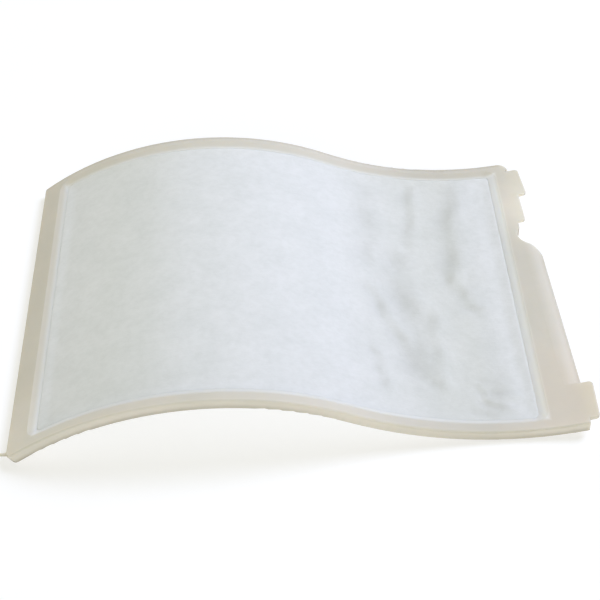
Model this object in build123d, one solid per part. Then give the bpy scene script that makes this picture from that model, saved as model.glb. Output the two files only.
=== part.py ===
from build123d import *
import math
import os

# Exhaust filter of an upright vacuum cleaner: a sheet of felt in an S-curved moulded frame.
# X runs from the plain left end to the right end with the tabs, Y across, Z up, in millimetres.

# Wave of the frame's middle surface, from the left end to the ridge where the lip starts
rise_angle = 36.0
hump_radius = 112.0
fall_angle = 24.0
trough_radius = 132.0
tip_angle = 8.5

# Moulded ring, with a sloping rim round its window, and the share by which a slope's cut overruns it
frame_width = 150.0
frame_depth = 4.0
side_border = 6.6
left_border = 11.6
right_border_back = 6.6
right_border_front = 10.6
window_round = 2.0
rim_width = 3.0
rim_drop = 1.2
under_bevel = 0.5
slope_overrun = 0.25
edge_round = 0.8
back_left_round = 1.2
front_left_round = 3.0

# Rolled lip of the right end, which starts a little inside the notch
lip_radius = 8.0
lip_turn = 39.0
lip_overlap = 0.5
lip_slant = 6.5
lip_round = 14.0

# How far the plate and the tabs of the right end reach past the ridge
plate_reach_back = 1.5
wide_tab_reach_back = 5.3
wide_tab_reach_front = 6.2
low_tab_reach_back = 3.1
low_tab_reach_front = 3.0
front_tab_reach_back = 9.1
front_tab_reach_front = 8.2
plate_reach_front = 4.8

# Lengths across the right end: four in a row from the back edge, then the front tab
wide_tab_inset = 5.8
wide_tab_length = 17.0
low_tab_length = 16.4
notch_gap = 3.8
notch_width = 8.8
front_tab_inset = 2.0
front_tab_length = 16.8

# Tabs, level with the top of the plate, and how far they are rooted in it
tab_depth = 1.2
tab_root = 1.5
tab_round = 1.5
tab_edge_round = 0.3

# Round cuts into the right end: its back corner, the nick beside the wide tab and the notch
back_corner_round = 5.5
nick_radius = 0.9
notch_depth = 1.55

# Moulding pip at the front left corner
pip_length = 3.4
pip_root_diameter = 1.5
pip_tip_diameter = 0.9
pip_inset = 3.4
pip_drop = 1.0

# Felt, and the groove that clamps its rim; both lie below the frame's middle surface
felt_depth = 1.6
felt_drop = 0.6
groove_depth = 1.2
groove_reach = 2.8
felt_clearance = 0.04


class Course:
    """A chain of tangent arcs in the XZ plane, measured along its length."""

    def __init__(self, heading, bends):
        """Each bend is a radius and the degrees that it turns, upwards if positive."""
        self.arcs = []
        self.length = 0.0
        x, z, heading = 0.0, 0.0, math.radians(heading)
        for radius, degrees in bends:
            self.arcs.append((self.length, x, z, heading, math.copysign(1 / radius, degrees)))
            self.length += radius * math.radians(abs(degrees))
            x, z, heading = self.place(self.length)

    def place(self, s):
        """The point s along the course and the heading there; the last arc runs on past the end."""
        start, x, z, heading, curve = [arc for arc in self.arcs if arc[0] <= s][-1]
        turned = heading + curve * (s - start)
        x += (math.sin(turned) - math.sin(heading)) / curve
        z += (math.cos(heading) - math.cos(turned)) / curve
        return x, z, turned

    def point(self, s, n, y=0.0):
        """The point s along the course, n above it and y across."""
        x, z, heading = self.place(s)
        return Vector(x - n * math.sin(heading), y, z + n * math.cos(heading))

    def line(self, s0, s1, n):
        """The arcs that run n above the course from s0 to s1."""
        joins = [s0, *[arc[0] for arc in self.arcs if s0 < arc[0] < s1], s1]
        return [
            ThreePointArc(self.point(a, n), self.point((a + b) / 2, n), self.point(b, n))
            for a, b in zip(joins, joins[1:])
        ]

    def ribbon(self, s0, s1, n0, n1, half_across):
        """A curved plate from s0 to s1 along the course and from n0 to n1 above it."""
        ends = [Line(self.point(s, n0), self.point(s, n1)) for s in (s0, s1)]
        section = make_face(self.line(s0, s1, n0) + self.line(s0, s1, n1) + ends)
        return extrude(section, half_across, both=True)


half_width = frame_width / 2
half_depth = frame_depth / 2
bends = [(hump_radius, -rise_angle - fall_angle), (trough_radius, fall_angle + tip_angle)]
wave = Course(rise_angle, bends)
lip_course = Course(rise_angle, [*bends, (lip_radius, -lip_turn)])
ridge_x = wave.place(wave.length)[0]
lip_reach = lip_course.point(lip_course.length, half_depth).X - ridge_x
far_left = -ridge_x - frame_depth
far_right = wave.length + front_tab_reach_back + frame_depth

# Where the features of the right end lie across the frame
wide_tab_back = half_width - wide_tab_inset
wide_tab_front = wide_tab_back - wide_tab_length
low_tab_front = wide_tab_front - low_tab_length
notch_front = low_tab_front - notch_gap - notch_width
lip_back = notch_front + lip_overlap
front_tab_front = front_tab_inset - half_width
front_tab_back = front_tab_front + front_tab_length


def plan(*corners):
    """An outline from above; each corner is a reach past the ridge and a place across."""
    return Pos(ridge_x, 0) * Polygon(*corners, align=None)


def rounded(outline, corner, radius):
    """An outline with one of its corners rounded."""
    spot = (ridge_x + corner[0], corner[1], 0)
    return fillet(outline.vertices().sort_by_distance(spot)[0], radius)


def strip(back, front, reach):
    """The outline of a strip of the plate, from past the left end to its reach at the right."""
    return plan((far_left, back), (reach, back), (reach, front), (far_left, front))


def cut_to(solid, outline):
    """A curved plate cut to an outline from above."""
    return solid & extrude(outline, frame_width, both=True)


def blank(course, length):
    """A curved plate with rounded left corners and rounded outer edges, before its right end is cut."""
    solid = course.ribbon(0, length, -half_depth, half_depth, half_width)
    for y, radius in ((half_width, back_left_round), (-half_width, front_left_round)):
        solid = fillet(solid.edges().sort_by_distance(course.point(0, 0, y))[0], radius)
    rims = [solid.edges().sort_by_distance(course.point(0, n))[0] for n in (-half_depth, half_depth)]
    return fillet(rims, edge_round)


def back_plate(plate):
    """The plate behind the lip, with its rounded corner and the nick, stepped back under the low tab."""
    corner = (plate_reach_back, half_width)
    step = (wide_tab_front + low_tab_front) / 2
    outline = rounded(strip(half_width, step, plate_reach_back), corner, back_corner_round)
    outline -= Pos(ridge_x + plate_reach_back, wide_tab_back) * Circle(nick_radius)
    return cut_to(plate, outline + strip(step, lip_back, 0))


def notch():
    """The round notch between the low tab and the lip, as deep as the frame."""
    radius = (notch_width**2 / 4 + notch_depth**2) / (2 * notch_depth)
    centre = Pos(ridge_x + radius - notch_depth, notch_front + notch_width / 2)
    return extrude(centre * Circle(radius), frame_width, both=True)


def lip_plate():
    """The middle of the plate with its rolled lip, slanted where it meets the notch."""
    shoulder = (lip_reach, lip_back - lip_slant)
    left = [(far_left, front_tab_back), (far_left, lip_back)]
    outline = plan(*left, (0, lip_back), shoulder, (lip_reach, front_tab_back))
    solid = cut_to(blank(lip_course, lip_course.length), rounded(outline, shoulder, lip_round))
    middle = (lip_back + front_tab_back) / 2
    ends = [lip_course.point(lip_course.length, n, middle) for n in (-half_depth, half_depth)]
    return fillet([solid.edges().sort_by_distance(end)[0] for end in ends], edge_round)


def front_plate(plate):
    """The plate in front of the lip, with its plain corner."""
    return cut_to(plate, strip(front_tab_back, -half_width, plate_reach_front))


def tab(back, front, reach_back, reach_front):
    """A retaining tab, rooted in the plate and rounded round its free end."""
    lead, heel = (reach_back, back), (reach_front, front)
    outline = plan((-tab_root, front), (-tab_root, back), lead, heel)
    outline = rounded(rounded(outline, lead, tab_round), heel, tab_round)
    solid = cut_to(wave.ribbon(0, far_right, half_depth - tab_depth, half_depth, half_width), outline)
    rims = solid.faces().sort_by(Axis.X)[-1].edges().sort_by(Axis.Z)
    return fillet([rims[0], rims[-1]], tab_edge_round)


def pip():
    """The small tapered stub that stands out level from the left end."""
    edge = wave.point(0, half_depth)
    length = pip_length + half_depth
    stub = Rot(0, -90, 0) * Cone(pip_root_diameter / 2, pip_tip_diameter / 2, length)
    return Pos(edge.X + half_depth / 2 - pip_length / 2, pip_inset - half_width, edge.Z - pip_drop) * stub


def pane(grow, n0, n1):
    """The window, grown on every side, between two heights above the middle surface."""
    side = half_width - side_border + grow
    right = [(grow - right_border_back, side), (grow - right_border_front, -side)]
    sheet = wave.ribbon(left_border - grow, wave.length, n0, n1, side)
    sheet = cut_to(sheet, plan((far_left, -side), (far_left, side), *right))
    corners = sheet.edges().filter_by(GeomType.LINE).filter_by(lambda edge: edge.length < 2 * (n1 - n0))
    return fillet(corners, window_round + grow)


def felt_pane(grow, depth):
    """The window, grown on every side, as a sheet of the given depth at the felt's level."""
    return pane(grow, -felt_drop - depth / 2, -felt_drop + depth / 2)


def flare(side, width, drop):
    """What slopes the rim of the window, at the top if side is 1 and underneath if it is -1."""
    grow, rise = width * (1 + slope_overrun), drop * (1 + slope_overrun)
    levels = sorted([side * (half_depth - rise), side * (half_depth + rise)])
    sheet = pane(grow, *levels)
    middle, across = wave.length / 2, half_width - side_border + grow
    wall = sheet.faces().sort_by_distance(wave.point(middle, side * half_depth, across))[0]
    rim = sheet.edges().sort_by_distance(wave.point(middle, side * (half_depth - rise), across))[0]
    return chamfer(rim, rise + drop * slope_overrun, grow + width * slope_overrun, reference=wall)


def frame():
    """The moulded ring with its lip, tabs and pip, its sloping window rim and the groove for the felt."""
    plate = blank(wave, far_right)
    ring = back_plate(plate) + lip_plate() + front_plate(plate) - notch()
    ring += tab(wide_tab_back, wide_tab_front, wide_tab_reach_back, wide_tab_reach_front)
    ring += tab(wide_tab_front + 2 * tab_round, low_tab_front, low_tab_reach_back, low_tab_reach_front)
    ring += tab(front_tab_back, front_tab_front, front_tab_reach_back, front_tab_reach_front)
    ring += pip()
    ring -= pane(0, -frame_depth, frame_depth)
    ring -= flare(1, rim_width, rim_drop)
    ring -= flare(-1, under_bevel, under_bevel)
    return ring - felt_pane(groove_reach, groove_depth)


def filter_media():
    """The felt: full depth in the window, pressed thin round its rim where the groove clamps it."""
    rim_depth = groove_depth - 2 * felt_clearance
    return felt_pane(-felt_clearance, felt_depth) + felt_pane(groove_reach - felt_clearance, rim_depth)


nodes = {"frame": frame(), "filter_media": filter_media()}
box = nodes["frame"].bounding_box()
seat = Pos(-box.center().X, -box.center().Y, -box.min.Z)
os.makedirs("parts", exist_ok=True)
for name, shape in nodes.items():
    export_step(seat * shape, f"parts/{name}.step")
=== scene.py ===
import bpy
import math
import numpy as np
from mathutils import Matrix, Vector, noise
from mathutils.bvhtree import BVHTree


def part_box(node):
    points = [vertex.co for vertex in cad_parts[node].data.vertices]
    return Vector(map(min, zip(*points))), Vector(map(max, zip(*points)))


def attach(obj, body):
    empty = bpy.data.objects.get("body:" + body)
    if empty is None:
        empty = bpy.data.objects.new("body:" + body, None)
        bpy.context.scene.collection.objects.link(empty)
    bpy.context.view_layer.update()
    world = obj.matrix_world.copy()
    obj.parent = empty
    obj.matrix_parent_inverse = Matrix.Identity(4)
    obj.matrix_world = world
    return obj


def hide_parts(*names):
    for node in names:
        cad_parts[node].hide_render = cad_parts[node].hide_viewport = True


# The exhaust filter dressed for its portrait: the moulded frame with a translucent ivory finish,
# and the felt as a soft sheet pressed into the frame's groove. Metres, in the frame of the solids.

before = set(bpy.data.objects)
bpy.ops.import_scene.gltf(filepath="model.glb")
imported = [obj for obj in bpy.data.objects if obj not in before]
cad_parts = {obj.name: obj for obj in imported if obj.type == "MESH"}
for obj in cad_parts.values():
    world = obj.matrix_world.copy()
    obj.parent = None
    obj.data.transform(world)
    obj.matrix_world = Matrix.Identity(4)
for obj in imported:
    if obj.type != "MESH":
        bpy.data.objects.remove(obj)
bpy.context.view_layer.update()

# Camera, from the photograph's perspective
image_pixels = 600
focal_pixels = 1386.2
sensor_width = 36.0
camera_target = Vector((0.0039, 0.00155, 0.0))
camera_distance = 0.5107
camera_elevation = math.radians(40.09)
camera_yaw = math.radians(-1.85)
camera_roll = math.radians(-1.70)
camera_clip_start = 0.01

# How the felt solid is measured: steps in from its box, and the plain stretch of its middle line
edge_search_step = 0.00005
line_samples = 800
end_margin = 0.0045
end_samples = 60

# Mesh of the felt sheet, with closer lines on both sides of the window's edge
felt_mesh_step = 0.00078
felt_edge_steps = (
    -0.00025, -0.00005, -0.00003, 0.00004, 0.00012, 0.00022, 0.00034, 0.00052, 0.0008, 0.0013, 0.0019,
)
felt_corner_round = 0.0047

# How the felt swells up from its clamped rim, and how far in from the window's edge it lies free
felt_press = 0.00004
felt_shoulder = 0.0002
felt_shoulder_start = 0.95
felt_pillow = 0.00056
felt_pillow_width = 0.0026
felt_free_width = 0.0048
felt_sag_room = 0.00045
upright_width = 0.012

# Swells, lumps and tooth of the felt: how high, how long, the noise of each, and their share on the hump
swell_height = 0.00028
swell_length = 0.034
swell_seed = 3.7
hump_swells = 0.4
lump_height = 0.00012
lump_length = 0.0065
upper_lump_seed = 11.3
lower_lump_seed = 31.1
hump_lumps = 0.35
tooth_height = 0.00004
tooth_length = 0.0016
upper_tooth_seed = 23.9
lower_tooth_seed = 47.3
trough_start = 0.102
trough_onset = 0.03

# Creases of the felt in the trough: start and end (along the sheet, across it), half width and height
creases = [
    ((0.1435, 0.062), (0.1395, 0.026), 0.0020, 0.00036),
    ((0.1590, 0.058), (0.1530, 0.006), 0.0030, 0.00052),
    ((0.1530, 0.006), (0.1590, -0.010), 0.0024, 0.00036),
    ((0.1220, -0.006), (0.1315, -0.034), 0.0022, 0.00044),
    ((0.1340, 0.012), (0.1380, -0.046), 0.0042, 0.00060),
    ((0.1430, -0.018), (0.1415, -0.050), 0.0024, 0.00036),
    ((0.1200, -0.038), (0.1215, -0.053), 0.0018, 0.00028),
    ((0.1250, 0.054), (0.1232, 0.012), 0.0036, 0.00030),
    ((0.1610, -0.056), (0.1580, -0.067), 0.0036, 0.00048),
    ((0.1550, -0.052), (0.1565, -0.060), 0.0012, 0.00020),
]

# How a crease wanders, rises and falls along its run, and fades past its ends, in half widths and radians
wander_share = 0.3
wander_turn = 9.0
wander_phase = 700.0
crease_rise = 0.8
crease_rise_swing = 0.3
swing_turn = 12.0
swing_phase = 300.0
crease_end_fade = 2.0

# Painted shade in the creases: how deep the deepest one is, the tint it gets there, how far to its left the
# shade lies and how it spreads
deepest_crease = 0.0006
crease_shade_tint = (0.90, 0.90, 0.90)
crease_shade_side = 0.6
crease_shade_spread = 3.0

# Painted shade along the felt, greyer and less blue on its left slope and in its trough: a share of the way
# along it, and how much white and blue is left there
felt_shade_length = 0.18
felt_shade_stops = [
    (0.03, 0.97, 0.98),
    (0.14, 0.93, 0.95),
    (0.22, 0.935, 0.955),
    (0.30, 0.99, 0.985),
    (0.47, 1.0, 1.0),
    (0.60, 0.978, 1.0),
    (0.69, 0.955, 0.985),
    (0.79, 0.93, 0.965),
    (0.867, 0.915, 0.96),
    (0.90, 0.93, 0.98),
    (0.933, 1.0, 1.0),
    (0.98, 1.0, 1.0),
]
# Painted shade towards the felt's front: its tint, and where it starts and is full
felt_front_shade = (0.975, 0.975, 0.975)
felt_front_start = 0.015
felt_front_end = -0.06

# Felt fibres: tints by density, how many features there are to a metre, and how high they stand
felt_cloud_scale = 75.0
felt_cloud_tints = [(0.34, (0.815, 0.825, 0.82)), (0.66, (0.86, 0.865, 0.865))]
felt_fleck_scale = 340.0
felt_fleck_tints = [(0.32, (0.955, 0.955, 0.95)), (0.62, (1.0, 1.0, 1.0))]
felt_fuzz_height = 0.0006
felt_fibre_angles = (17.0, 78.0, 131.0)
felt_fibre_scale = (380.0, 2600.0, 1.0)
felt_fibre_tints = [(0.42, (0.97, 0.97, 0.968)), (0.75, (1.0, 1.0, 1.0))]
felt_nap_height = 0.0003

# Plastic of the frame: tints of its clouds, how many features there are to a metre, gloss and bumps
plastic_cloud_scale = 45.0
plastic_cloud_tints = [(0.32, (0.695, 0.66, 0.575)), (0.68, (0.74, 0.695, 0.61))]
plastic_flow_scale = 160.0
plastic_flow_height = 0.0006
plastic_rough_low = 0.56
plastic_rough_high = 0.72
plastic_grain_scale = 2600.0
plastic_grain_height = 0.0001
plastic_scatter_depth = 0.003
plastic_scatter_colour = (1.0, 0.9, 0.7)

# Painted shade along the frame, darkest over the trough: a share of the way along the frame and how much of
# its colour is left there
frame_shade_stops = [(0.35, 1.0), (0.55, 0.975), (0.70, 0.93), (0.82, 0.91), (0.90, 0.97), (0.95, 1.0)]

# Window rim, paler where the thin plastic lies over the felt, partly painted light glowing through it, and
# more painted light at its back and right, which face away from the key: near and far colours, and how far
# from the window it pales
rim_colour = (0.82, 0.81, 0.76)
rim_far_painted_light = (0.93, 0.92, 0.88)
rim_plain = 0.0033
rim_thin = 0.0012
rim_back_shift = 0.0016
rim_right_shift = 0.0006
rim_corner_blend = 0.004

# Painted shade on the outer edges of the frame: its colour, and where it starts and is full, by place or by
# normal
edge_shade_colour = (0.78, 0.77, 0.75)
back_edge_shade = 0.6
back_edge_start = 0.0024
back_edge_full = 0.0008
left_edge_normal = (-0.62, -0.85)
right_edge_normal = (0.24, 0.52)
under_edge_normal = (0.0, -0.5)
front_normal = (-0.05, -0.7)
front_half = (0.0, -0.01)

# Painted shade on the front side of the frame: its colour, the deeper shade towards its lower edge, and where
# that edge is measured
front_shade_colour = (0.89, 0.892, 0.90)
lower_shade_colour = (0.62, 0.61, 0.56)
lower_height = 0.0028
lower_edge_inset = 0.0035
lower_edge_shares = (0.035, 0.97)
lower_edge_samples = 28

# How much of the front side's shade shows, by shares of the way along the frame
front_shade = [
    (0.22, 1.0),
    (0.35, 0.85),
    (0.50, 0.80),
    (0.60, 0.20),
    (0.70, 0.20),
    (0.78, 0.40),
    (0.86, 0.65),
    (0.93, 0.90),
]

# Paler patches painted on the frame, painted light at its left end and back right: middle, radius and tint
painted_pale_patches = [
    ((-0.0945, -0.075, 0.002), 0.042, (1.15, 1.15, 1.17)),
    ((0.093, 0.047, 0.006), 0.030, (1.18, 1.17, 1.17)),
    ((0.094, -0.060, 0.006), 0.040, (1.06, 1.02, 1.0)),
]

# Studio: two soft boxes, the surround by height, and the floor
key_place = (1.86, 1.05, 2.22)
key_size = 1.5
key_watts = 86.0
key_colour = (0.70, 0.76, 1.0)
fill_place = (-0.7, -2.0, 0.7)
fill_size = 2.0
fill_watts = 22.0
fill_colour = (0.94, 0.97, 1.0)
surround_colours = [(0.10, (0.78, 0.77, 0.73)), (0.24, (0.338, 0.325, 0.216))]
floor_half = 6.0
floor_colour = (0.46, 0.46, 0.46)
floor_glow = 0.60


def smooth(t):
    """A soft step from 0 to 1."""
    t = np.clip(t, 0.0, 1.0)
    return t * t * (3.0 - 2.0 * t)


def rounded_step(t):
    """A step from 0 to 1 with the shape of a quarter circle."""
    t = np.clip(t, 0.0, 1.0)
    return np.sqrt(1.0 - (1.0 - t) ** 2)


def surface(node):
    """The faces of a solid, ready for rays."""
    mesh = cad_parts[node].data
    corners = [vertex.co for vertex in mesh.vertices]
    faces = [face.vertices for face in mesh.polygons]
    return BVHTree.FromPolygons(corners, faces)


class FeltSolid:
    """Measures of the plain felt solid, taken with rays."""

    def __init__(self):
        self.tree = surface("filter_media")
        self.low, self.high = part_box("filter_media")
        self.margin = self.high.z - self.low.z
        self.half_width = self.high.y
        quarter = self.half_width / 2
        self.left = self.edge(0.0, self.low.x, edge_search_step)
        right = [self.edge(y, self.high.x, -edge_search_step) for y in (-quarter, quarter)]
        self.right_middle = sum(right) / 2
        self.right_slant = (right[1] - right[0]) / (2 * quarter)
        self.measure_middle_line()
        self.measure_depths()
        self.left += self.rim_half_depth * math.sin(self.slope[0])
        self.measure_middle_line()

    def faces_at(self, x, y):
        """The heights of the upper and lower face at a place, or None beside the felt."""
        above = self.tree.ray_cast(Vector((x, y, self.high.z + self.margin)), Vector((0, 0, -1)))[0]
        below = self.tree.ray_cast(Vector((x, y, self.low.z - self.margin)), Vector((0, 0, 1)))[0]
        return (above.z, below.z) if above and below else None

    def edge(self, y, x, step):
        """Where the felt starts along X, stepping in from its box."""
        while not self.faces_at(x, y):
            x += step
        return x

    def right_end(self, y):
        """The slanted right end of the felt."""
        return self.right_middle + self.right_slant * y

    def measure_middle_line(self):
        """The middle line from the left end to the furthest right, with its length and slope."""
        self.x = np.linspace(self.left, self.right_end(self.half_width), line_samples)
        plain = self.x[(self.x > self.left + end_margin) & (self.x < self.right_end(0.0) - end_margin)]
        z = np.array([sum(self.faces_at(x, 0.0)) / 2 for x in plain])
        before = np.polyval(np.polyfit(plain[:end_samples], z[:end_samples], 2), self.x)
        after = np.polyval(np.polyfit(plain[-end_samples:], z[-end_samples:], 2), self.x)
        between = np.interp(self.x, plain, z)
        self.z = np.where(self.x < plain[0], before, np.where(self.x > plain[-1], after, between))
        lengths = np.hypot(np.diff(self.x), np.diff(self.z))
        self.s = np.concatenate([[0.0], np.cumsum(lengths)])
        self.slope = np.arctan(np.gradient(self.z, self.x))

    def measure_depths(self):
        """The depth of the felt in the window and at its clamped rim, and the rim's reach."""
        crest = self.x[np.argmax(self.z)]
        top, bottom = self.faces_at(crest, 0.0)
        rim_top, rim_bottom = self.faces_at(crest, self.half_width - edge_search_step)
        self.half_depth = (top - bottom) / 2
        self.rim_half_depth = (rim_top - rim_bottom) / 2
        beside = Vector((crest, self.half_width + self.margin, (top + rim_top) / 2))
        self.reach = self.half_width - self.tree.ray_cast(beside, Vector((0, -1, 0)))[0].y


def crease_field(s, y):
    """How far the creases lift the sheet, down on their left and up on their right, and the painted shade in
    them.
    """
    height, crease_shade = np.zeros_like(s), np.zeros_like(s)
    for start, end, half_width, high in creases:
        along = np.subtract(end, start)
        length = np.hypot(*along)
        along = along / length
        run = (s - start[0]) * along[0] + (y - start[1]) * along[1]
        wander = wander_share * half_width * np.sin(run / length * wander_turn + start[0] * wander_phase)
        off = ((s - start[0]) * along[1] - (y - start[1]) * along[0]) * np.sign(along[1]) + wander
        past = np.maximum(np.maximum(-run, run - length), 0.0)
        swing = crease_rise_swing * np.sin(run / length * swing_turn + start[1] * swing_phase)
        fade = np.exp(-(past / (crease_end_fade * half_width)) ** 2) * (crease_rise + swing)
        side = off / half_width
        height += high * fade * side * np.exp(0.5 - 0.5 * side ** 2)
        # painted shade along the low side of each crease, darker at the deeper ones
        crease_shade = np.maximum(crease_shade, fade * np.exp(-(side + crease_shade_side) ** 2 / crease_shade_spread) * high / deepest_crease)
    return height, crease_shade


def noise_field(s, y, length, seed):
    """Even, repeatable noise between about -1 and 1, with features of the given length."""
    places = np.stack([s, y], axis=-1).reshape(-1, 2) / length
    values = [noise.noise((u + seed, v - seed, seed)) for u, v in places]
    return np.array(values).reshape(s.shape)


def felt_lines(solid, length):
    """Grid lines across a length, close together where the sheet passes the window's edge at either end."""
    edge = np.array([0.0, solid.reach / 3, 2 * solid.reach / 3, *(solid.reach + np.array(felt_edge_steps))])
    count = int(round((np.min(length) - 2 * edge[-1]) / felt_mesh_step))
    share = np.arange(1, count) / count
    length = np.asarray(length)[None, ...]
    shape = (-1,) + (1,) * (length.ndim - 1)
    start = edge.reshape(shape) + 0 * length
    middle = edge[-1] + share.reshape(shape) * (length - 2 * edge[-1])
    return np.concatenate([start, middle, length - start[::-1]])


def felt_grid(solid):
    """The sheet's own coordinates: along and across, with rounded corners, and the way in from its rim."""
    across = felt_lines(solid, 2 * solid.half_width) - solid.half_width
    end = np.interp(solid.right_end(across), solid.x, solid.s)[None, :]
    s = felt_lines(solid, end[0])
    y = across[None, :] + 0 * s
    end = end + 0 * s
    radius = felt_corner_round
    left = np.clip((radius - s) / radius, 0, 1)
    right = np.clip((radius - (end - s)) / radius, 0, 1)
    side = np.clip((radius - (solid.half_width - np.abs(y))) / radius, 0, 1)
    ends = np.maximum(left, right)
    end_pull = ends * (1 - np.sqrt(1 - side ** 2 / 2))
    side_pull = side * (1 - np.sqrt(1 - ends ** 2 / 2))
    s = s + radius * end_pull * np.where(left > right, 1, -1)
    y = y - radius * side_pull * np.sign(y)
    round_off = np.hypot(ends - end_pull, side - side_pull)
    inner = np.minimum(np.minimum(s, end - s), solid.half_width - np.abs(y))
    inner = np.where(round_off > 0, radius * (1 - round_off), inner)
    return s, y, inner


def felt_heights(solid, s, y, inner):
    """The heights of the sheet's two sides over its middle line, and the painted shade of its creases."""
    window = inner - solid.reach + felt_press
    swell = felt_shoulder_start + (1 - felt_shoulder_start) * rounded_step(window / felt_shoulder)
    swell = np.where(window > 0, swell, 0.0)
    half_depth = solid.rim_half_depth + (solid.half_depth - solid.rim_half_depth) * swell
    pillow = felt_pillow * swell * np.exp(-np.maximum(window / felt_pillow_width, 0.0) ** 2)
    free = smooth(window / felt_free_width)
    trough = smooth((s - trough_start) / trough_onset)
    drift, crease_shade = crease_field(s, y)
    swells = swell_height * noise_field(s, y, swell_length, swell_seed)
    drift = drift + swells * (hump_swells + (1 - hump_swells) * trough)
    upper = lump_height * noise_field(s, y, lump_length, upper_lump_seed)
    upper = upper * (hump_lumps + (1 - hump_lumps) * trough)
    upper += tooth_height * noise_field(s, y, tooth_length, upper_tooth_seed)
    lower = lump_height * noise_field(s, y, lump_length, lower_lump_seed)
    lower += tooth_height * noise_field(s, y, tooth_length, lower_tooth_seed)
    top = half_depth + pillow + free * (drift + upper)
    bottom = np.maximum(free * (drift / 2 + lower) - half_depth, -solid.half_depth - felt_sag_room)
    return top, bottom, free * crease_shade


def felt_side(solid, s, y, height):
    """The places of one side of the sheet, which stands upright at its right end."""
    end = np.interp(solid.right_end(y), solid.x, solid.s)
    heading = np.interp(s, solid.s, solid.slope) * smooth((end - s - solid.reach) / upright_width)
    x = np.interp(s, solid.s, solid.x) - height * np.sin(heading)
    z = np.interp(s, solid.s, solid.z) + height * np.cos(heading)
    return np.stack([x, y, z], -1).reshape(-1, 3)


def sheet_faces(rows, columns):
    """The faces of a closed sheet: its upper side, its lower side and the wall round its rim."""
    count = rows * columns
    index = np.arange(count).reshape(rows, columns)
    quads = np.stack([index[:-1, :-1], index[1:, :-1], index[1:, 1:], index[:-1, 1:]], -1).reshape(-1, 4)
    ring = np.concatenate([index[:, 0], index[-1, 1:], index[-2::-1, -1], index[0, -2:0:-1]])
    after = np.roll(ring, -1)
    wall = np.stack([ring, ring + count, after + count, after], -1)
    return np.concatenate([quads, quads[:, ::-1] + count, wall])


def felt_sheet(solid):
    """The felt as one closed sheet: full in the window, pressed thin where the groove clamps it."""
    s, y, inner = felt_grid(solid)
    top, bottom, crease_shade = felt_heights(solid, s, y, inner)
    places = np.concatenate([felt_side(solid, s, y, height) for height in (top, bottom)])
    mesh = bpy.data.meshes.new("felt_sheet")
    mesh.from_pydata(places.tolist(), [], sheet_faces(*s.shape).tolist())
    mesh.polygons.foreach_set("use_smooth", [True] * len(mesh.polygons))
    # painted shade of the creases, kept on the sheet for its material
    crease_shaded = mesh.attributes.new("crease_shade", "FLOAT", "POINT")
    crease_shaded.data.foreach_set("value", np.tile(crease_shade.ravel(), 2))
    lay = mesh.uv_layers.new(name="sheet")
    flat = np.tile(np.stack([s, y], -1).reshape(-1, 2), (2, 1))
    loops = np.empty(len(mesh.loops), int)
    mesh.loops.foreach_get("vertex_index", loops)
    lay.data.foreach_set("uv", flat[loops].ravel())
    piece = bpy.data.objects.new("felt_sheet", mesh)
    bpy.context.scene.collection.objects.link(piece)
    piece.data.materials.append(felt_material())
    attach(piece, "root")
    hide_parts("filter_media")
    length = np.interp(solid.right_end(0.0), solid.x, solid.s)


def new_material(name):
    """A material with nodes, and its shader."""
    material = bpy.data.materials.new(name)
    material.use_nodes = True
    return material, material.node_tree.nodes["Principled BSDF"]


def feed(tree, socket, value):
    """Links a socket to another one, or sets its value."""
    if isinstance(value, bpy.types.NodeSocket):
        tree.links.new(value, socket)
    else:
        socket.default_value = value


def add(tree, kind, settings=None, **inputs):
    """A shader node with its settings and its input values or links."""
    node = tree.nodes.new(kind)
    for name, value in (settings or {}).items():
        setattr(node, name, value)
    for name, value in inputs.items():
        feed(tree, node.inputs[name.replace("_", " ")], value)
    return node


def coordinates(tree, vector):
    """The X, Y and Z of a vector."""
    return add(tree, "ShaderNodeSeparateXYZ", Vector=vector).outputs


def clouds(tree, place, scale, detail, **settings):
    """Noise with the given number of features to a metre."""
    return add(tree, "ShaderNodeTexNoise", Vector=place, Scale=scale, Detail=detail, **settings).outputs["Fac"]


def ramp(tree, factor, stops):
    """A colour ramp over the given (place, colour) stops."""
    node = add(tree, "ShaderNodeValToRGB", Fac=factor)
    elements = node.color_ramp.elements
    while len(elements) < len(stops):
        elements.new(0.5)
    for element, (place, colour) in zip(elements, stops):
        element.position = place
        element.color = (*colour, 1.0)
    return node.outputs["Color"]


def grey_ramp(tree, factor, stops):
    """A ramp over the given (place, value) stops."""
    return ramp(tree, factor, [(place, (value, value, value)) for place, value in stops])


def math_node(tree, operation, *values):
    """The result of the named operation on two or three values or links."""
    node = add(tree, "ShaderNodeMath", {"operation": operation})
    for socket, value in zip(node.inputs, values):
        feed(tree, socket, value)
    return node.outputs[0]


def soft_step(tree, value, start, end):
    """A soft step from 0 at the start to 1 at the end."""
    settings = {"interpolation_type": "SMOOTHSTEP"}
    node = add(tree, "ShaderNodeMapRange", settings, Value=value, From_Min=start, From_Max=end)
    return node.outputs["Result"]


def blend(tree, kind, factor, first, second):
    """Two colours mixed or multiplied."""
    node = add(tree, "ShaderNodeMix", {"data_type": "RGBA", "blend_type": kind})
    for name, value in (("Factor", factor), ("A", first), ("B", second)):
        socket = [socket for socket in node.inputs if socket.name == name and socket.enabled][0]
        feed(tree, socket, value)
    return [socket for socket in node.outputs if socket.enabled][0]


def tinted(tree, factor, colour, tint):
    """A colour multiplied by a plain tint, as far as the factor says."""
    return blend(tree, "MULTIPLY", factor, colour, (*tint, 1.0))


def felt_fibres(tree, place):
    """Fine fibres that lie across each other in several directions."""
    fibres = 0.0
    for degrees in felt_fibre_angles:
        turn = (0, 0, math.radians(degrees))
        turned = add(tree, "ShaderNodeMapping", Vector=place, Rotation=turn, Scale=felt_fibre_scale)
        layer = clouds(tree, turned.outputs["Vector"], 1.0, 2.0, Distortion=0.6)
        fibres = math_node(tree, "MAXIMUM", fibres, layer)
    return fibres


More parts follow.
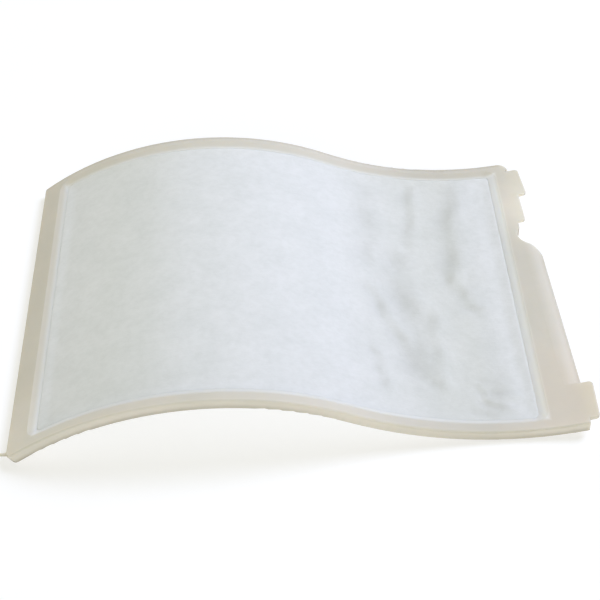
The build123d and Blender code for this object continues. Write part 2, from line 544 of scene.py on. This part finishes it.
def felt_painted_shade(tree, place):
    """Painted shade on the felt along its length, in its creases and towards its front."""
    spot = coordinates(tree, place)
    share = math_node(tree, "DIVIDE", spot["X"], felt_shade_length)
    # painted shade along the felt: greyer and less blue on its left slope and in its trough
    painted_shade = ramp(tree, share, [(stop, (white, white, white * blue)) for stop, white, blue in felt_shade_stops])
    # painted shade in the creases, read from the sheet
    crease_shade = add(tree, "ShaderNodeAttribute", {"attribute_name": "crease_shade"}).outputs["Fac"]
    painted_shade = tinted(tree, crease_shade, painted_shade, crease_shade_tint)
    # painted shade towards the front of the felt
    front = soft_step(tree, spot["Y"], felt_front_start, felt_front_end)
    return tinted(tree, front, painted_shade, felt_front_shade)


def felt_material():
    """White non-woven felt: faint clouds of density, fine criss-cross fibres, a soft nap, and painted shade
    along it, in its creases and towards its front.
    """
    material, shader = new_material("felt")
    tree = material.node_tree
    place = add(tree, "ShaderNodeTexCoord").outputs["UV"]
    density = clouds(tree, place, felt_cloud_scale, 3.0, Roughness=0.6)
    flecks = clouds(tree, place, felt_fleck_scale, 3.0, Roughness=0.65)
    fibres = felt_fibres(tree, place)
    tint = ramp(tree, density, felt_cloud_tints)
    tint = blend(tree, "MULTIPLY", 1.0, tint, ramp(tree, flecks, felt_fleck_tints))
    shade = ramp(tree, fibres, felt_fibre_tints)
    # painted shade along the felt, in its creases and towards its front
    shade = blend(tree, "MULTIPLY", 1.0, shade, felt_painted_shade(tree, place))
    tree.links.new(blend(tree, "MULTIPLY", 1.0, tint, shade), shader.inputs["Base Color"])
    fuzz = add(tree, "ShaderNodeBump", Height=flecks, Strength=0.25, Distance=felt_fuzz_height)
    fuzz = fuzz.outputs["Normal"]
    nap = add(tree, "ShaderNodeBump", Height=fibres, Strength=0.2, Distance=felt_nap_height, Normal=fuzz)
    tree.links.new(nap.outputs["Normal"], shader.inputs["Normal"])
    shader.inputs["Roughness"].default_value = 0.95
    shader.inputs["Specular IOR Level"].default_value = 0.15
    shader.inputs["Sheen Weight"].default_value = 0.25
    shader.inputs["Sheen Roughness"].default_value = 0.6
    return material


def way_from_window(tree, place, solid):
    """How far a place on the frame lies outside the window, and how far that is at its back or right."""
    spot = coordinates(tree, place)
    window_side = solid.half_width - solid.reach
    window_right = solid.right_middle - solid.reach + rim_right_shift
    left = math_node(tree, "SUBTRACT", solid.left + solid.reach, spot["X"])
    front = math_node(tree, "SUBTRACT", -window_side, spot["Y"])
    near = math_node(tree, "MAXIMUM", left, front)
    end = math_node(tree, "MULTIPLY_ADD", spot["Y"], solid.right_slant, window_right)
    right = math_node(tree, "SUBTRACT", spot["X"], end)
    back = math_node(tree, "SUBTRACT", spot["Y"], window_side - rim_back_shift)
    far = math_node(tree, "MAXIMUM", right, back)
    lead = math_node(tree, "SUBTRACT", far, near)
    far_share = soft_step(tree, lead, -rim_corner_blend, rim_corner_blend)
    return math_node(tree, "MAXIMUM", near, far), far_share


def edge_shade_masks(tree, place, solid):
    """How far a place on the frame gets the painted shade of its outer edges, and how far that of its front
    side.
    """
    normal = coordinates(tree, add(tree, "ShaderNodeNewGeometry").outputs["Normal"])
    spot = coordinates(tree, place)
    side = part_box("frame")[1].y
    back = soft_step(tree, spot["Y"], side - back_edge_start, side - back_edge_full)
    back = math_node(tree, "MULTIPLY", back, back_edge_shade)
    left = soft_step(tree, normal["X"], *left_edge_normal)
    lip = soft_step(tree, spot["X"], solid.right_middle + solid.reach, solid.right_middle + 2 * solid.reach)
    right = math_node(tree, "MULTIPLY", soft_step(tree, normal["X"], *right_edge_normal), lip)
    before = soft_step(tree, spot["Y"], *front_half)
    under = math_node(tree, "MULTIPLY", soft_step(tree, normal["Z"], *under_edge_normal), before)
    front = math_node(tree, "MULTIPLY", soft_step(tree, normal["Y"], *front_normal), before)
    ends = math_node(tree, "MAXIMUM", left, right)
    sides = math_node(tree, "MAXIMUM", back, under)
    return math_node(tree, "MAXIMUM", ends, sides), front


def height_over_lower_edge(tree, place, share):
    """How high a place on the frame lies over the front rail's underside, which is measured with rays."""
    low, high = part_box("frame")
    rail = surface("frame")
    stops = []
    for stop in np.linspace(*lower_edge_shares, lower_edge_samples):
        below = Vector((low.x + stop * (high.x - low.x), low.y + lower_edge_inset, low.z - high.z))
        stops.append((stop, rail.ray_cast(below, Vector((0, 0, 1)))[0].z / high.z))
    underside = grey_ramp(tree, share, stops)
    return math_node(tree, "MULTIPLY_ADD", underside, -high.z, coordinates(tree, place)["Z"])


def distance_from(tree, place, middle):
    """How far a place lies from a given point."""
    node = add(tree, "ShaderNodeVectorMath", {"operation": "DISTANCE"}, Vector=place)
    node.inputs[1].default_value = middle
    return node.outputs["Value"]


def frame_colour(tree, place, solid):
    """Cloudy ivory with painted shade along it and at its outer edges and front, and a paler window rim: thin
    plastic over felt, with painted light at its back and right.
    """
    low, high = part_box("frame")
    along = coordinates(tree, place)["X"]
    share = add(tree, "ShaderNodeMapRange", Value=along, From_Min=low.x, From_Max=high.x).outputs["Result"]
    tint = ramp(tree, clouds(tree, place, plastic_cloud_scale, 4.0, Roughness=0.55), plastic_cloud_tints)
    # painted shade along the frame, darkest over the trough
    tint = blend(tree, "MULTIPLY", 1.0, tint, grey_ramp(tree, share, frame_shade_stops))
    way, far = way_from_window(tree, place, solid)
    # painted light on the rim, stronger at its back and right
    pale = blend(tree, "MIX", far, (*rim_colour, 1.0), (*rim_far_painted_light, 1.0))
    tint = blend(tree, "MIX", soft_step(tree, way, rim_plain, rim_thin), tint, pale)
    outside = soft_step(tree, way, rim_plain, rim_plain + rim_thin)
    edge, front = edge_shade_masks(tree, place, solid)
    beside_front = math_node(tree, "SUBTRACT", 1.0, front)
    front = math_node(tree, "MULTIPLY", front, grey_ramp(tree, share, front_shade))
    lower = soft_step(tree, height_over_lower_edge(tree, place, share), lower_height, 0.0)
    # painted shade on the outer edges
    tint = tinted(tree, math_node(tree, "MULTIPLY", edge, outside), tint, edge_shade_colour)
    # painted shade on the front side
    tint = tinted(tree, math_node(tree, "MULTIPLY", front, outside), tint, front_shade_colour)
    # deeper painted shade towards the front side's lower edge
    tint = tinted(tree, math_node(tree, "MULTIPLY", front, lower), tint, lower_shade_colour)
    # paler painted patches, painted light at the left end and back right
    for middle, radius, colour in painted_pale_patches:
        near = soft_step(tree, distance_from(tree, place, middle), radius, 0.0)
        tint = tinted(tree, math_node(tree, "MULTIPLY", near, beside_front), tint, colour)
    return tint


def frame_material(solid):
    """Translucent ivory plastic with a satin skin."""
    material, shader = new_material("frame_plastic")
    tree = material.node_tree
    place = add(tree, "ShaderNodeTexCoord").outputs["Object"]
    tree.links.new(frame_colour(tree, place, solid), shader.inputs["Base Color"])
    grain = clouds(tree, place, plastic_grain_scale, 2.0)
    flow = clouds(tree, place, plastic_flow_scale, 3.0)
    rough = add(tree, "ShaderNodeMapRange", Value=flow, To_Min=plastic_rough_low, To_Max=plastic_rough_high)
    tree.links.new(rough.outputs["Result"], shader.inputs["Roughness"])
    soft = add(tree, "ShaderNodeBump", Height=flow, Strength=0.12, Distance=plastic_flow_height)
    soft = soft.outputs["Normal"]
    skin = add(tree, "ShaderNodeBump", Height=grain, Strength=0.08, Distance=plastic_grain_height, Normal=soft)
    tree.links.new(skin.outputs["Normal"], shader.inputs["Normal"])
    shader.inputs["IOR"].default_value = 1.49
    shader.inputs["Specular IOR Level"].default_value = 0.3
    shader.inputs["Subsurface Weight"].default_value = 0.45
    shader.inputs["Subsurface Radius"].default_value = plastic_scatter_colour
    shader.inputs["Subsurface Scale"].default_value = plastic_scatter_depth
    return material


def dress_frame(felt_solid):
    """Gives the moulded frame its finish."""
    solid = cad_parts["frame"]
    finish = frame_material(felt_solid)
    for slot in solid.material_slots:
        slot.material = finish


def floor():
    """A plain pale floor."""
    mesh = bpy.data.meshes.new("floor")
    signs = ((-1, -1), (1, -1), (1, 1), (-1, 1))
    mesh.from_pydata([(x * floor_half, y * floor_half, 0) for x, y in signs], [], [(0, 1, 2, 3)])
    material, shader = new_material("floor")
    shader.inputs["Base Color"].default_value = (*floor_colour, 1.0)
    shader.inputs["Roughness"].default_value = 0.9
    shader.inputs["Specular IOR Level"].default_value = 0.1
    shader.inputs["Emission Color"].default_value = (1.0, 1.0, 1.0, 1.0)
    shader.inputs["Emission Strength"].default_value = floor_glow
    mesh.materials.append(material)
    piece = bpy.data.objects.new("floor", mesh)
    bpy.context.scene.collection.objects.link(piece)


def area_light(name, place, size, watts, colour):
    """A square soft box aimed at the middle of the filter."""
    light = bpy.data.lights.new(name, "AREA")
    light.shape = "SQUARE"
    light.size = size
    light.energy = watts
    light.color = colour
    lamp = bpy.data.objects.new(name, light)
    lamp.location = place
    lamp.rotation_euler = (-Vector(place)).to_track_quat("-Z", "Y").to_euler()
    bpy.context.scene.collection.objects.link(lamp)


def studio():
    """Soft light from the back right, a fill from the front left and a surround paler at the horizon."""
    area_light("key", key_place, key_size, key_watts, key_colour)
    area_light("fill", fill_place, fill_size, fill_watts, fill_colour)
    world = bpy.data.worlds.new("surround")
    world.use_nodes = True
    tree = world.node_tree
    way = coordinates(tree, add(tree, "ShaderNodeTexCoord").outputs["Generated"])
    tree.links.new(ramp(tree, way["Z"], surround_colours), tree.nodes["Background"].inputs["Color"])
    bpy.context.scene.world = world


def camera():
    """The photograph's view."""
    data = bpy.data.cameras.new("camera")
    data.sensor_width = sensor_width
    data.lens = focal_pixels * sensor_width / image_pixels
    data.clip_start = camera_clip_start
    right = Vector((math.cos(camera_yaw), math.sin(camera_yaw), 0))
    level = Vector((math.sin(camera_yaw), -math.cos(camera_yaw), 0)) * math.cos(camera_elevation)
    back = level + Vector((0, 0, math.sin(camera_elevation)))
    up = back.cross(right)
    turned_right = math.cos(camera_roll) * right + math.sin(camera_roll) * up
    turned_up = math.cos(camera_roll) * up - math.sin(camera_roll) * right
    piece = bpy.data.objects.new("camera", data)
    axes = Matrix((turned_right, turned_up, back)).transposed().to_4x4()
    piece.matrix_world = Matrix.Translation(camera_target + back * camera_distance) @ axes
    bpy.context.scene.collection.objects.link(piece)
    bpy.context.scene.camera = piece


felt_solid = FeltSolid()
dress_frame(felt_solid)
felt_sheet(felt_solid)
floor()
studio()
camera()
bpy.context.scene.view_settings.view_transform = "Standard"
